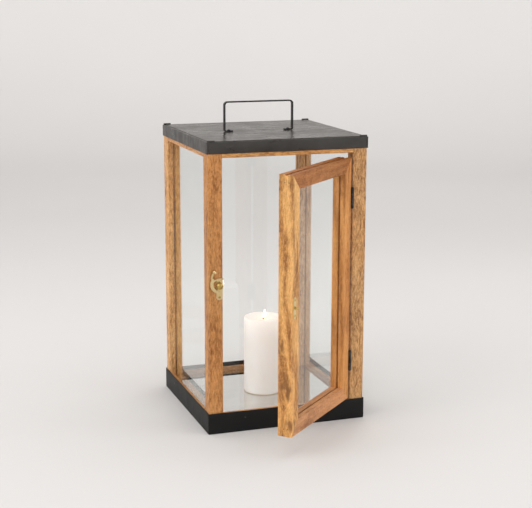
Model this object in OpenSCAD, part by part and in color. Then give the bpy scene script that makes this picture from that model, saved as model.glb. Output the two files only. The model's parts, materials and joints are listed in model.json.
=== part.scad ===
// Hanging candle lantern: a square wooden frame between two folded sheet-metal
// pans, three fixed glass panes, a glazed door on butt hinges, a brass swing
// hook, a strap handle and a pillar candle on a polished floor plate.
// Origin: centre of the base on the ground. +Z up, door side towards -Y.

/* [Overall] */
// Outside width and depth of the base tray
tray_w = 250; // [230:1:290]
// Height from the ground to the top of the roof sheet
roof_z = 437; // [400:1:500]
// Angle at which the door stands open
door_open = 44; // [0:1:120]

/* [Sheet metal] */
// Height of the base tray's skirt
tray_h = 32; // [30:0.5:38]
// Thickness of the base tray's sheet
tray_t = 1.2; // [0.8:0.1:1.2]
// Height of the roof's turned-down rim
rim_h = 18; // [14:0.5:21]
// Thickness of the roof's sheet
roof_t = 1.0; // [0.6:0.1:1.0]
// Height of the raised fold at each roof corner
tab_h = 1.8; // [1:0.1:2.4]

/* [Wooden frame] */
// Section of the four posts
post = 21.7; // [20:0.1:24]
// Height of the bottom rails' top edge
sill_z = 25.5; // [25:0.1:27]
// Height of the rabbet that carries the floor plate and the panes
seat_z = 18.6; // [15:0.1:19]
// Bevel along the sticks' long edges
ease = 0.8; // [0.6:0.1:1]

/* [Glass] */
// Thickness of the panes
glass_t = 2; // [1.8:0.1:2]
// Distance of a pane's middle from the outer face of the wood
glass_in = 11.6; // [10:0.1:12]
// Open gap left on the outer side of each pane
seal_gap = 1.9; // [0.2:0.1:2]
// Depth of the grooves that hold the panes
groove_d = 5.5; // [4:0.1:6]

/* [Door] */
// Gap between the skirt and the door's bottom edge
door_gap = 2; // [1.5:0.1:4]
// Distance of a hinge's middle from the end of the door
hinge_end = 60; // [50:1:80]
// Length of a hinge
hinge_h = 30; // [24:1:36]

/* [Latch] */
// Height of the hook's pivot
latch_z = 221; // [200:1:240]
// Thickness of the hook
hook_t = 1.5; // [1.2:0.1:1.5]

/* [Handle] */
// Outside length of the strap handle
handle_l = 111; // [90:1:140]
// Height of the handle above the roof
handle_h = 46; // [36:1:60]
// Width of the strap
strap_w = 6; // [5:0.5:12]
// Offset of the handle's middle from the roof's middle, left to right
handle_x = -8; // [-10:1:10]
// Offset of the handle's middle from the roof's middle, front to back
handle_y = -9; // [-10:1:10]

/* [Candle] */
// Diameter of the pillar candle
candle_d = 62; // [50:1:80]
// Height of the pillar candle
candle_h = 122; // [70:1:160]
// Offset of the candle from the middle of the floor
candle_x = 3; // [-10:1:10]

/* [Hidden] */

$fn = 64;
e = 0.01;

// half widths: tray, roof, outer and inner faces of the wood
th = tray_w / 2;
rh = th - 0.5;
wo = th - 1.8;
wi = wo - post;
rail_len = 2 * wi;

// heights
lid_z = roof_z - roof_t;
head_z = roof_z - 24;
floor_z = seat_z + 1;

// panes
gc = wo - glass_in;
gi = gc - glass_t / 2 - 0.2;
go = gc + glass_t / 2 + seal_gap;
gw = go - gi;

// door, drawn closed and then turned about the hinge pins
pin_x = wi - 1.1;
pin_y = -wo - 1.8;
d_w = post - 0.4;
d_xh = wi - 2.2;
d_xf = -wi + 2.3;
d_y0 = -wo + 0.2;
d_y1 = d_y0 + d_w;
d_yc = (d_y0 + d_y1) / 2;
d_z0 = tray_h + door_gap;
d_z1 = roof_z - 31.5;
hinge_z = [d_z0 + hinge_end, d_z1 - hinge_end];
leaf_t = 0.9;
barrel_r = 2.2;
pin_r = 1.0;
screw_r = 1.1;

// latch
lx = -wi - 5.1;
plate_t = 1;
post_plate_w = 9.6;
door_plate_w = 8.6;
plate_h = 31;
plate_zc = latch_z - 0.5;
stud_r = 1.1;
stud_reach = 13.6;
stud_x = lx + stud_reach;
hook_y = -wo - plate_t - 1.35;

// colours
wood_c = [0.76, 0.48, 0.26];
wood_d = [0.80, 0.56, 0.28];
black_c = [0.16, 0.16, 0.16];
brass_c = [0.80, 0.66, 0.36];
steel_c = [0.80, 0.80, 0.80];
glass_c = [0.85, 0.92, 0.90, 0.35];
wax_c = [0.96, 0.93, 0.86];

// ---------------------------------------------------------------- helpers

// rectangle with bevelled corners, from the origin
module eased(a, b, c = ease) {
  polygon([[c, 0], [a - c, 0], [a, c], [a, b - c], [a - c, b], [c, b], [0, b - c], [0, c]]);
}
// bevelled sticks along Z, X and Y, from the origin
module stick_z(s) { linear_extrude(s[2]) eased(s[0], s[1]); }
module stick_x(s) { rotate([90, 0, 90]) linear_extrude(s[0]) eased(s[1], s[2]); }

// round rod between two values along Y, X or Z
module rod_y(x, z, y0, y1, r) { translate([x, y0, z]) rotate([-90, 0, 0]) cylinder(r = r, h = y1 - y0); }
module rod_x(y, z, x0, x1, r) { translate([x0, y, z]) rotate([0, 90, 0]) cylinder(r = r, h = x1 - x0); }
module rod_z(x, y, z0, z1, r) { translate([x, y, z0]) cylinder(r = r, h = z1 - z0); }

// turns what is drawn for the closed door to its open angle
module on_door() {
  translate([pin_x, pin_y, 0]) rotate([0, 0, door_open]) translate([-pin_x, -pin_y, 0]) children();
}

// upright plate with round ends, its back on y = yb, facing -Y
module strip(xc, zc, w, h, yb, t) {
  translate([xc - w / 2, yb - t, zc - h / 2 + w / 2]) cube([w, t, h - w]);
  for (s = [-1, 1]) rod_y(xc, zc + s * (h / 2 - w / 2), yb - t, yb, w / 2);
}

// round-headed screw driven along +Y, its head standing on y = y0
module face_screw(x, z, y0, len) {
  rod_y(x, z, y0, y0 + len, screw_r);
  translate([x, y0, z]) rotate([90, 0, 0]) rotate_extrude() polygon([[0, 0], [1.9, 0], [1.75, 0.35], [1.3, 0.6], [0.6, 0.72], [0, 0.72]]);
}
module face_screw_hole(x, z, y0, len) { rod_y(x, z, y0 - 1, y0 + len + 0.1, screw_r + 0.02); }

// arc of a flat ring in the X-Z plane seen from the front: centre, radii, angles
module arc2(c, r0, r1, a0, a1) {
  translate(c) intersection() {
    difference() { circle(r = r1); circle(r = r0); }
    polygon(concat([[0, 0]], [for (i = [0 : 8]) let (a = a0 + (a1 - a0) * i / 8) 1.6 * r1 * [cos(a), sin(a)]]));
  }
}

// ---------------------------------------------------------------- sheet metal

// one brad on each side of the tray: distance along the side, height
brad_s = 0.55 * wo;
brad_z = 22;
module each_side() { for (a = [0, 90, 180, 270]) rotate([0, 0, a]) children(); }

module base_tray() color(black_c) difference() {
  translate([-th, -th, 0]) cube([tray_w, tray_w, tray_h]);
  translate([-th + tray_t, -th + tray_t, tray_t]) cube([tray_w - 2 * tray_t, tray_w - 2 * tray_t, tray_h]);
  each_side() rod_y(-brad_s, brad_z, -th - 1, -th + 3, 0.85);
}

module base_brads() color(black_c) each_side() {
  rod_y(-brad_s, brad_z, -th, -wo + 6, 0.8);
  rod_y(-brad_s, brad_z, -th - 0.4, -th, 1.6);
}

module brad_holes() each_side() rod_y(-brad_s, brad_z, -th - 1, -wo + 6.2, 0.82);

roof_brad_s = 60;
roof_brad_z = roof_z - rim_h / 2;
// brads through the roof's rim at the right and at the back
module roof_brad_sites() for (a = [90, 180], s = [-1, 1]) rotate([0, 0, a]) translate([s * roof_brad_s, 0, 0]) children();

module roof_cap() color(black_c) difference() {
  union() {
    translate([-rh, -rh, roof_z - rim_h]) cube([2 * rh, 2 * rh, rim_h]);
    // raised folds where the sheet is tucked in at the corners
    for (sx = [-1, 1], sy = [-1, 1])
      translate([sx * (rh - 7) - 6, sy * (rh - 2.2) - 1.2, roof_z - e]) cube([12, 2.4, tab_h]);
  }
  translate([-rh + roof_t, -rh + roof_t, roof_z - rim_h - 1]) cube([2 * (rh - roof_t), 2 * (rh - roof_t), rim_h + 1 - roof_t]);
  roof_brad_sites() rod_y(0, roof_brad_z, -rh - 1, -rh + 3, 0.85);
  for (s = [-1, 1]) rod_z(handle_x + s * rivet_s, handle_y, lid_z - 1, roof_z + 1, 1.52);
}

module roof_brads() color(black_c) roof_brad_sites() {
  rod_y(0, roof_brad_z, -rh, -wo + 9, 0.8);
  rod_y(0, roof_brad_z, -rh - 0.4, -rh, 1.5);
}

module floor_plate() color(steel_c) translate([0, 0, seat_z]) linear_extrude(1) union() {
  translate([-gc + glass_t / 2 + 0.2, -wi + 0.2]) square([2 * gc - glass_t - 0.4, rail_len - 0.4]);
  translate([-wi + 0.2, -wi - 3.5]) square([rail_len - 0.4, wi + 3.5 + gc - glass_t / 2 - 0.2]);
}

// ---------------------------------------------------------------- wooden frame

// rabbeted rail at the back, then turned to the sides
module low_rail() difference() {
  translate([-wi, wo - post, tray_t]) stick_x([rail_len, post, sill_z - tray_t]);
  translate([-wi - 1, wo - post - 1, seat_z]) cube([rail_len + 2, go - (wo - post) + 1, 20]);
  brad_holes();
}
module bottom_rail_back() color(wood_c) low_rail();
module bottom_rail_left() color(wood_c) rotate([0, 0, 90]) low_rail();
module bottom_rail_right() color(wood_c) rotate([0, 0, -90]) low_rail();

module bottom_rail_front() color(wood_c) difference() {
  translate([-wi, -wo, tray_t]) stick_x([rail_len, post, sill_z - tray_t]);
  translate([-wi - 1, -wi - 4, seat_z - 0.1]) cube([rail_len + 2, 5, 1.2]);
  brad_holes();
}

// full-length post at the front left corner
module post_blank() translate([-wo, -wo, tray_t]) stick_z([post, post, lid_z - tray_t]);
// groove for a side pane, cut in the front left post
module pane_groove() translate([-go, -wi - groove_d, seat_z]) cube([gw, groove_d + 1, roof_z]);

module post_front_left() color(wood_c) difference() {
  post_blank();
  pane_groove();
  for (s = [-1, 1]) face_screw_hole(lx, plate_zc + s * 11, -wo, 9);
  rod_y(lx, latch_z, -wo - 1, -wo + 9.1, 1.52);
}
module post_front_right() color(wood_c) difference() {
  mirror([1, 0, 0]) post_blank();
  mirror([1, 0, 0]) pane_groove();
  for (z = hinge_z, s = [-1, 1]) rod_x(hinge_sy, z + s * 10, wi - 1, wi + 9.1, screw_r + 0.02);
}
module post_back_left() color(wood_c) difference() {
  mirror([0, 1, 0]) post_blank();
  mirror([0, 1, 0]) pane_groove();
  rotate([0, 0, -90]) pane_groove();
}
module post_back_right() color(wood_c) difference() {
  rotate([0, 0, 180]) post_blank();
  rotate([0, 0, 180]) pane_groove();
  rotate([0, 0, 180]) mirror([1, -1, 0]) pane_groove();
}

// rail under the roof, drawn at the back
module head_rail(grooved = true) difference() {
  translate([-wi, wo - post, head_z]) stick_x([rail_len, post, lid_z - head_z]);
  if (grooved) translate([-wi - 1, gi, head_z - 1]) cube([rail_len + 2, gw, groove_d + 1]);
  for (s = [-1, 1]) translate([s * roof_brad_s, 0, 0]) rod_y(0, roof_brad_z, wo - 9.2, wo + 1, 0.82);
}
module top_rail_back() color(wood_c) head_rail();
module top_rail_right() color(wood_c) rotate([0, 0, -90]) head_rail();
module top_rail_left() color(wood_c) rotate([0, 0, 90]) difference() {
  translate([-wi, wo - post, head_z]) stick_x([rail_len, post, lid_z - head_z]);
  translate([-wi - 1, gi, head_z - 1]) cube([rail_len + 2, gw, groove_d + 1]);
}
module top_rail_front() color(wood_c) translate([-wi, -wo, head_z]) stick_x([rail_len, post, lid_z - head_z]);

// ---------------------------------------------------------------- glass

pane_l = rail_len + 2 * groove_d - 0.8;
module pane() translate([-pane_l / 2, gc - glass_t / 2, seat_z]) cube([pane_l, glass_t, head_z + groove_d - 0.4 - seat_z]);
module glass_back() color(glass_c) pane();
module glass_left() color(glass_c) rotate([0, 0, 90]) pane();
module glass_right() color(glass_c) rotate([0, 0, -90]) pane();

// ---------------------------------------------------------------- handle

bend_r = 6;
strap_t = 2;
foot_l = 14;
rivet_s = handle_l / 2 - 8;
module bend2(c, a0) arc2(c, bend_r - strap_t, bend_r, a0, a0 + 90);

module handle_strap() color(black_c) difference() {
  translate([handle_x, handle_y + strap_w / 2, roof_z]) rotate([90, 0, 0]) linear_extrude(strap_w) union() {
    translate([-handle_l / 2 + bend_r, handle_h - strap_t]) square([handle_l - 2 * bend_r, strap_t]);
    bend2([-handle_l / 2 + bend_r, handle_h - bend_r], 90);
    bend2([handle_l / 2 - bend_r, handle_h - bend_r], 0);
    for (s = [0, 1]) mirror([s, 0]) {
      translate([-handle_l / 2, 3]) square([strap_t, handle_h - bend_r - 3]);
      arc2([-handle_l / 2 + 3, 3], 1, 3, 180, 270);
      translate([-handle_l / 2 + 3, 0]) square([foot_l - 3, strap_t]);
    }
  }
  for (s = [-1, 1]) rod_z(handle_x + s * rivet_s, handle_y, roof_z - 1, roof_z + strap_t + 1, 1.52);
}

module handle_rivets() color(black_c) for (s = [-1, 1]) translate([handle_x + s * rivet_s, handle_y, 0]) {
  rod_z(0, 0, lid_z, roof_z + strap_t, 1.5);
  rod_z(0, 0, lid_z - 0.9, lid_z, 2.3);
  translate([0, 0, roof_z + strap_t]) rotate_extrude() polygon([[0, 0], [2.7, 0], [2.5, 0.6], [1.8, 1.15], [0.9, 1.4], [0, 1.45]]);
}

// ---------------------------------------------------------------- hinges

hinge_sy = pin_y + 11.5;
leaf_l = 17;

// leaf on the post: two end knuckles
module frame_leaf(z) color(black_c) difference() {
  union() {
    translate([wi - leaf_t, pin_y + 2.6, z - hinge_h / 2]) cube([leaf_t, leaf_l - 2.6, hinge_h]);
    for (s = [0, 1]) translate([0, 0, z - hinge_h / 2 + s * hinge_h * 2 / 3]) {
      translate([wi - leaf_t, pin_y, 0]) cube([leaf_t, 3, hinge_h / 3]);
      translate([pin_x, pin_y, 0]) cylinder(r = barrel_r, h = hinge_h / 3);
    }
  }
  rod_z(pin_x, pin_y, z - hinge_h / 2 - 1, z + hinge_h / 2 + 1, pin_r + 0.06);
  for (s = [-1, 1]) {
    rod_x(hinge_sy, z + s * 10, wi - leaf_t - 1, wi + 1, screw_r + 0.02);
    rod_x(hinge_sy, z + s * 10, wi - leaf_t - 1, wi - leaf_t + 0.5, 2.02);
  }
}
module hinge_frame_leaf_upper() frame_leaf(hinge_z[1]);
module hinge_frame_leaf_lower() frame_leaf(hinge_z[0]);

// leaf on the door: one middle knuckle
module door_leaf(z) color(black_c) difference() {
  union() {
    translate([d_xh, pin_y + 2.6, z - hinge_h / 2]) cube([leaf_t, leaf_l - 2.6, hinge_h]);
    translate([0, 0, z - hinge_h / 6 + 0.3]) {
      translate([d_xh, pin_y, 0]) cube([leaf_t, 3, hinge_h / 3 - 0.6]);
      translate([pin_x, pin_y, 0]) cylinder(r = barrel_r, h = hinge_h / 3 - 0.6);
    }
  }
  rod_z(pin_x, pin_y, z - hinge_h / 2 - 1, z + hinge_h / 2 + 1, pin_r + 0.06);
  for (s = [-1, 1]) {
    rod_x(hinge_sy, z + s * 10, d_xh - 1, d_xh + leaf_t + 1, screw_r + 0.02);
    rod_x(hinge_sy, z + s * 10, d_xh + leaf_t - 0.5, d_xh + leaf_t + 1, 2.02);
  }
}
module hinge_door_leaf_upper() on_door() door_leaf(hinge_z[1]);
module hinge_door_leaf_lower() on_door() door_leaf(hinge_z[0]);

module hinge_frame_screws() color(black_c) for (z = hinge_z, s = [-1, 1]) {
  rod_x(hinge_sy, z + s * 10, wi - leaf_t + 0.5, wi + 9, screw_r);
  rod_x(hinge_sy, z + s * 10, wi - leaf_t, wi - leaf_t + 0.5, 2);
}
module hinge_door_screws() on_door() color(black_c) for (z = hinge_z, s = [-1, 1]) {
  rod_x(hinge_sy, z + s * 10, d_xh - 9, d_xh + leaf_t - 0.5, screw_r);
  rod_x(hinge_sy, z + s * 10, d_xh + leaf_t - 0.5, d_xh + leaf_t, 2);
}
module hinge_pins() color(black_c) for (z = hinge_z) {
  rod_z(pin_x, pin_y, z - hinge_h / 2 - 0.2, z + hinge_h / 2 + 0.2, pin_r);
  for (s = [-1, 1]) translate([pin_x, pin_y, z + s * (hinge_h / 2 + 0.6)]) cylinder(r = 1.7, h = 0.8, center = true);
}

// ---------------------------------------------------------------- door

// brads through the mitres, driven in from the door's two edges: y, z
mitre_y = [d_y0 + 6.4, d_y0 + 12.4];
mitre_z = [d_z0 + 11, d_z1 - 11];
module mitre_brads(r, g = 0) for (y = mitre_y, z = mitre_z) {
  rod_x(y, z, d_xf - g, d_xf + 14 + g, r);
  rod_x(y, z, d_xh - 14 - g, d_xh + g, r);
}
// slot and grooves for the door's pane
dg_x0 = d_xf + d_w - groove_d;
dg_x1 = d_xh - d_w + groove_d;
dg_z0 = d_z0 + d_w - groove_d;
module door_slot() {
  translate([dg_x0 - 0.2, d_yc - glass_t / 2 - seal_gap, dg_z0 - 0.2]) cube([dg_x1 - dg_x0 + 0.4, gw, d_z1]);
  // the saw cut runs out shallow to both ends of the top edge
  translate([d_xf - 1, d_yc - glass_t / 2 - seal_gap, d_z1 - 1.5]) cube([d_xh - d_xf + 2, gw, 3]);
}
module door_part(pts) difference() {
  translate([0, d_y1, 0]) rotate([90, 0, 0]) linear_extrude(d_w) polygon(pts);
  door_slot();
  mitre_brads(0.72, 0.1);
  // hinge screws
  for (z = hinge_z, s = [-1, 1]) rod_x(hinge_sy, z + s * 10, d_xh - 9.1, d_xh + 1, screw_r + 0.02);
  // latch screws and the stud's tail
  for (s = [-1, 1]) face_screw_hole(stud_x, plate_zc + s * 11, d_y0, 9);
  rod_y(stud_x, plate_zc, d_y0 - 1, d_y0 + 8.1, stud_r + 0.02);
}
module door_stile_hinge() on_door() color(wood_c) door_part([[d_xh, d_z0], [d_xh, d_z1], [d_xh - d_w, d_z1 - d_w], [d_xh - d_w, d_z0 + d_w]]);
module door_stile_free() on_door() color(wood_d) door_part([[d_xf, d_z0], [d_xf + d_w, d_z0 + d_w], [d_xf + d_w, d_z1 - d_w], [d_xf, d_z1]]);
module door_rail_top() on_door() color(wood_c) door_part([[d_xf, d_z1], [d_xf + d_w, d_z1 - d_w], [d_xh - d_w, d_z1 - d_w], [d_xh, d_z1]]);
module door_rail_bottom() on_door() color(wood_c) door_part([[d_xf, d_z0], [d_xh, d_z0], [d_xh - d_w, d_z0 + d_w], [d_xf + d_w, d_z0 + d_w]]);
module door_glass() on_door() color(glass_c) translate([dg_x0, d_yc - glass_t / 2, dg_z0]) cube([dg_x1 - dg_x0, glass_t, d_z1 - 2 - dg_z0]);
module door_brads() on_door() color(black_c) mitre_brads(0.7, -0.3);

// ---------------------------------------------------------------- latch

module latch_post_plate() color(brass_c) difference() {
  strip(lx, plate_zc, post_plate_w, plate_h, -wo, plate_t);
  for (s = [-1, 1]) rod_y(lx, plate_zc + s * 11, -wo - 2, -wo + 1, screw_r + 0.02);
  rod_y(lx, latch_z, -wo - 2, -wo + 1, 1.52);
}
module latch_post_screws() color(brass_c) for (s = [-1, 1]) face_screw(lx, plate_zc + s * 11, -wo - plate_t, 9);

// shouldered rivet: shank in the post, collar behind the hook, head in front
module latch_pivot_rivet() color(brass_c) {
  rod_y(lx, latch_z, hook_y - hook_t - 0.1, -wo + 9, 1.5);
  rod_y(lx, latch_z, hook_y + 0.05, -wo - plate_t, 3.2);
  rod_y(lx, latch_z, hook_y - hook_t - 0.9, hook_y - hook_t - 0.05, 2.4);
}

// knob centre from the pivot, and the radius of the arc that the prong follows
knob_c = [-0.7, 5.9];
prong_r = 15;
curl_c = [6 + 18.7 * cos(141), hook_y - 1.2, 15 + 18.7 * sin(141)];
module latch_hook() color(brass_c) translate([lx, 0, latch_z]) {
  difference() {
    union() {
      translate([0, hook_y, 0]) rotate([90, 0, 0]) linear_extrude(hook_t) union() {
        circle(r = 4.2);
        translate(knob_c) circle(r = 4.4);
        // crescent, thick at the left
        intersection() {
          difference() {
            translate([-1, 8.4]) circle(r = 13.8);
            translate([0.9, 8.8]) circle(r = 10.9);
          }
          polygon([[0, 9], [-11, 17.7], [-12.5, 22], [-40, 40], [-40, -20], [3.5, -20]]);
        }
        // prong on an arc about the pivot, with a round tip
        arc2([0, 0], prong_r, prong_r + 2.3, 75, 137);
        translate((prong_r + 1.3) * [cos(75), sin(75)]) circle(r = 1.25);
        // tail to the finger curl
        arc2([6, 15], 17.5, 20.1, 141, 176);
      }
      // rolled finger curl across the end of the tail
      translate(curl_c) rotate([0, 39, 0]) rotate([0, 90, 0]) cylinder(r = 1.9, h = 5.4, center = true);
    }
    rod_y(0, 0, hook_y - 5, hook_y + 5, 1.56);
    rod_y(knob_c[0], knob_c[1], hook_y - 5, hook_y + 5, 1.62);
    translate(curl_c) rotate([0, 39, 0]) rotate([0, 90, 0]) cylinder(r = 0.8, h = 12, center = true);
  }
}
module latch_knob() color(brass_c) translate([lx + knob_c[0], hook_y, latch_z + knob_c[1]]) rotate([90, 0, 0]) rotate_extrude()
  polygon([[0, 0], [1.6, 0], [1.6, hook_t + 1.2], [4.9, hook_t + 1.2], [5, hook_t + 1.7], [4.6, hook_t + 2.8], [3.6, hook_t + 3.7], [2.2, hook_t + 4.3], [0.8, hook_t + 4.55], [0, hook_t + 4.6]]);

module latch_door_plate() on_door() color(brass_c) difference() {
  strip(stud_x, plate_zc, door_plate_w, plate_h, d_y0, plate_t);
  for (s = [-1, 1]) rod_y(stud_x, plate_zc + s * 11, d_y0 - 2, d_y0 + 1, screw_r + 0.02);
  rod_y(stud_x, plate_zc, d_y0 - 2, d_y0 + 1, stud_r + 0.02);
}
module latch_stud() on_door() color(brass_c) translate([stud_x, d_y0, plate_zc]) rotate([90, 0, 0]) {
  translate([0, 0, -8]) cylinder(r = stud_r, h = 14);
  translate([0, 0, plate_t]) cylinder(r = 2.4, h = 0.8);
  translate([0, 0, 4.8]) rotate_extrude() polygon([[0, 0], [2, 0], [2, 0.9], [1.6, 1.6], [0.8, 2], [0, 2]]);
}
module latch_door_screws() on_door() color(brass_c) for (s = [-1, 1]) face_screw(stud_x, plate_zc + s * 11, d_y0 - plate_t, 9);

// ---------------------------------------------------------------- candle

cr = candle_d / 2;
module candle() color(wax_c) translate([candle_x, -1, floor_z]) difference() {
  rotate_extrude() polygon([[0, 0], [cr - 1, 0], [cr, 1], [cr, candle_h - 2.2], [cr - 0.7, candle_h - 0.7], [cr - 2.2, candle_h], [0, candle_h]]);
  // shallow melt pool
  translate([0, 0, candle_h + 96]) sphere(r = 100, $fn = 96);
  translate([0, 0, candle_h - 12]) cylinder(r = 0.9, h = 20);
}
module wick() color([0.2, 0.17, 0.15]) translate([candle_x, -1, floor_z + candle_h]) {
  translate([0, 0, -12]) cylinder(r = 0.85, h = 15.5);
  translate([0.1, 0, 2.4]) rotate([0, 16, 0]) cylinder(r = 0.8, h = 4.6);
}

base_tray();
base_brads();
bottom_rail_front();
bottom_rail_back();
bottom_rail_left();
bottom_rail_right();
post_front_left();
post_front_right();
post_back_left();
post_back_right();
top_rail_front();
top_rail_back();
top_rail_left();
top_rail_right();
glass_left();
glass_right();
glass_back();
floor_plate();
roof_cap();
roof_brads();
handle_strap();
handle_rivets();
hinge_frame_leaf_upper();
hinge_frame_leaf_lower();
hinge_frame_screws();
hinge_pins();
latch_post_plate();
latch_post_screws();
latch_pivot_rivet();
door_stile_hinge();
door_stile_free();
door_rail_top();
door_rail_bottom();
door_glass();
door_brads();
hinge_door_leaf_upper();
hinge_door_leaf_lower();
hinge_door_screws();
latch_door_plate();
latch_stud();
latch_door_screws();
latch_hook();
latch_knob();
candle();
wick();
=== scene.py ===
import json
import math
import random

import bpy
import bmesh
from mathutils import Matrix, Vector, noise


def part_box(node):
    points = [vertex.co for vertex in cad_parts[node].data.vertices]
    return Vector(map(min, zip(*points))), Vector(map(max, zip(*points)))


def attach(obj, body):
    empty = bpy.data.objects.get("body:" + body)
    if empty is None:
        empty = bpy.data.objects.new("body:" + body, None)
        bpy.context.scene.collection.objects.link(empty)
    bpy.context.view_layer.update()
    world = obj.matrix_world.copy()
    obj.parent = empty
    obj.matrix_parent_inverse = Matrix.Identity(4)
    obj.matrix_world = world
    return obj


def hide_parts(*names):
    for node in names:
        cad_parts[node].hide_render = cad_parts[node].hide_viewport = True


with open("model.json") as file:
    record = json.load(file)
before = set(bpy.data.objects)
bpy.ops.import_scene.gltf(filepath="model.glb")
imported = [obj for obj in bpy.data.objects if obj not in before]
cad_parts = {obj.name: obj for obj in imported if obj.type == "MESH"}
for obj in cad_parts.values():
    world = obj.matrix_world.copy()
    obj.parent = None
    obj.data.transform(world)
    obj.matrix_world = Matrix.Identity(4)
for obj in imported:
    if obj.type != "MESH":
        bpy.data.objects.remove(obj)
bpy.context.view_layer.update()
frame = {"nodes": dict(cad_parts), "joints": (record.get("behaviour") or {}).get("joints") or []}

scene = bpy.context.scene
N = frame["nodes"]
joints = {j["name"]: j for j in frame["joints"]}

# ------------------------------------------------------------------ helpers

def collection_link(o):
    scene.collection.objects.link(o)
    return o


def mesh_piece(name, verts, faces, smooth=True):
    m = bpy.data.meshes.new(name)
    m.from_pydata([tuple(v) for v in verts], [], faces)
    m.validate()
    m.update()
    if smooth:
        m.shade_smooth()
    o = bpy.data.objects.new(name, m)
    return collection_link(o)


def from_bmesh(name, bm, smooth=True):
    bmesh.ops.recalc_face_normals(bm, faces=bm.faces)
    m = bpy.data.meshes.new(name)
    bm.to_mesh(m)
    bm.free()
    if smooth:
        m.shade_smooth()
    o = bpy.data.objects.new(name, m)
    return collection_link(o)


def bevel(o, width, segments=2, angle=35):
    b = o.modifiers.new("soft_edges", "BEVEL")
    b.width = width
    b.segments = segments
    b.limit_method = "ANGLE"
    b.angle_limit = math.radians(angle)
    b.harden_normals = False
    b.use_clamp_overlap = True
    return b


def set_mat(o, mat):
    o.data.materials.clear()
    o.data.materials.append(mat)


class Graph:
    """A material's node tree, with short ways to add nodes and links."""

    def __init__(self, name):
        self.mat = bpy.data.materials.new(name)
        self.mat.use_nodes = True
        self.t = self.mat.node_tree
        self.t.nodes.clear()
        self.out = self.add("ShaderNodeOutputMaterial")
        self.bsdf = self.add("ShaderNodeBsdfPrincipled")
        self.link(self.bsdf.outputs[0], self.out.inputs[0])

    def add(self, kind, **props):
        n = self.t.nodes.new(kind)
        for k, v in props.items():
            setattr(n, k, v)
        return n

    def link(self, a, b):
        self.t.links.new(a, b)

    def put(self, socket, value):
        if isinstance(value, bpy.types.NodeSocket):
            self.link(value, socket)
        elif value is not None:
            socket.default_value = value

    def math(self, op, a, b=None, c=None, clamp=False):
        n = self.add("ShaderNodeMath", operation=op)
        n.use_clamp = clamp
        self.put(n.inputs[0], a)
        self.put(n.inputs[1], b)
        if c is not None:
            self.put(n.inputs[2], c)
        return n.outputs[0]

    def vmath(self, op, a, b=None):
        n = self.add("ShaderNodeVectorMath", operation=op)
        self.put(n.inputs[0], a)
        self.put(n.inputs[1], b)
        return n.outputs[0]

    def coords(self):
        return self.add("ShaderNodeTexCoord").outputs["Object"]

    def mapping(self, vec, loc=(0, 0, 0), rot=(0, 0, 0), scale=(1, 1, 1)):
        n = self.add("ShaderNodeMapping")
        self.put(n.inputs["Vector"], vec)
        n.inputs["Location"].default_value = loc
        n.inputs["Rotation"].default_value = rot
        n.inputs["Scale"].default_value = scale
        return n.outputs[0]

    def noise(self, vec, scale, detail=2.0, rough=0.5, dist=0.0):
        n = self.add("ShaderNodeTexNoise")
        self.put(n.inputs["Vector"], vec)
        n.inputs["Scale"].default_value = scale
        n.inputs["Detail"].default_value = detail
        n.inputs["Roughness"].default_value = rough
        n.inputs["Distortion"].default_value = dist
        return n.outputs["Fac"]

    def noise_color(self, vec, scale, detail=2.0):
        n = self.add("ShaderNodeTexNoise")
        self.put(n.inputs["Vector"], vec)
        n.inputs["Scale"].default_value = scale
        n.inputs["Detail"].default_value = detail
        return n.outputs["Color"]

    def ramp(self, fac, stops, interp="LINEAR"):
        n = self.add("ShaderNodeValToRGB")
        n.color_ramp.interpolation = interp
        el = n.color_ramp.elements
        while len(el) > 1:
            el.remove(el[-1])
        el[0].position = stops[0][0]
        el[0].color = stops[0][1]
        for p, c in stops[1:]:
            e = el.new(p)
            e.color = c
        self.put(n.inputs[0], fac)
        return n.outputs[0]

    def smooth(self, v, lo, hi, a=0.0, b=1.0):
        n = self.add("ShaderNodeMapRange", interpolation_type="SMOOTHSTEP")
        self.put(n.inputs[0], v)
        n.inputs[1].default_value = lo
        n.inputs[2].default_value = hi
        n.inputs[3].default_value = a
        n.inputs[4].default_value = b
        return n.outputs[0]

    def mix(self, fac, a, b, mode="MIX"):
        n = self.add("ShaderNodeMix", data_type="RGBA", blend_type=mode)
        self.put(n.inputs[0], fac)
        self.put(n.inputs[6], a)
        self.put(n.inputs[7], b)
        return n.outputs[2]

    def bump(self, height, strength, distance, normal=None):
        n = self.add("ShaderNodeBump")
        n.inputs["Strength"].default_value = strength
        n.inputs["Distance"].default_value = distance
        self.put(n.inputs["Height"], height)
        if normal is not None:
            self.link(normal, n.inputs["Normal"])
        return n.outputs[0]

    def xyz(self, vec):
        n = self.add("ShaderNodeSeparateXYZ")
        self.link(vec, n.inputs[0])
        return n.outputs


def rgb(r, g, b):
    """sRGB 0-255 to linear."""
    def f(c):
        c /= 255.0
        return c / 12.92 if c <= 0.04045 else ((c + 0.055) / 1.055) ** 2.4
    return (f(r), f(g), f(b), 1.0)


# ------------------------------------------------------------------ materials

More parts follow.
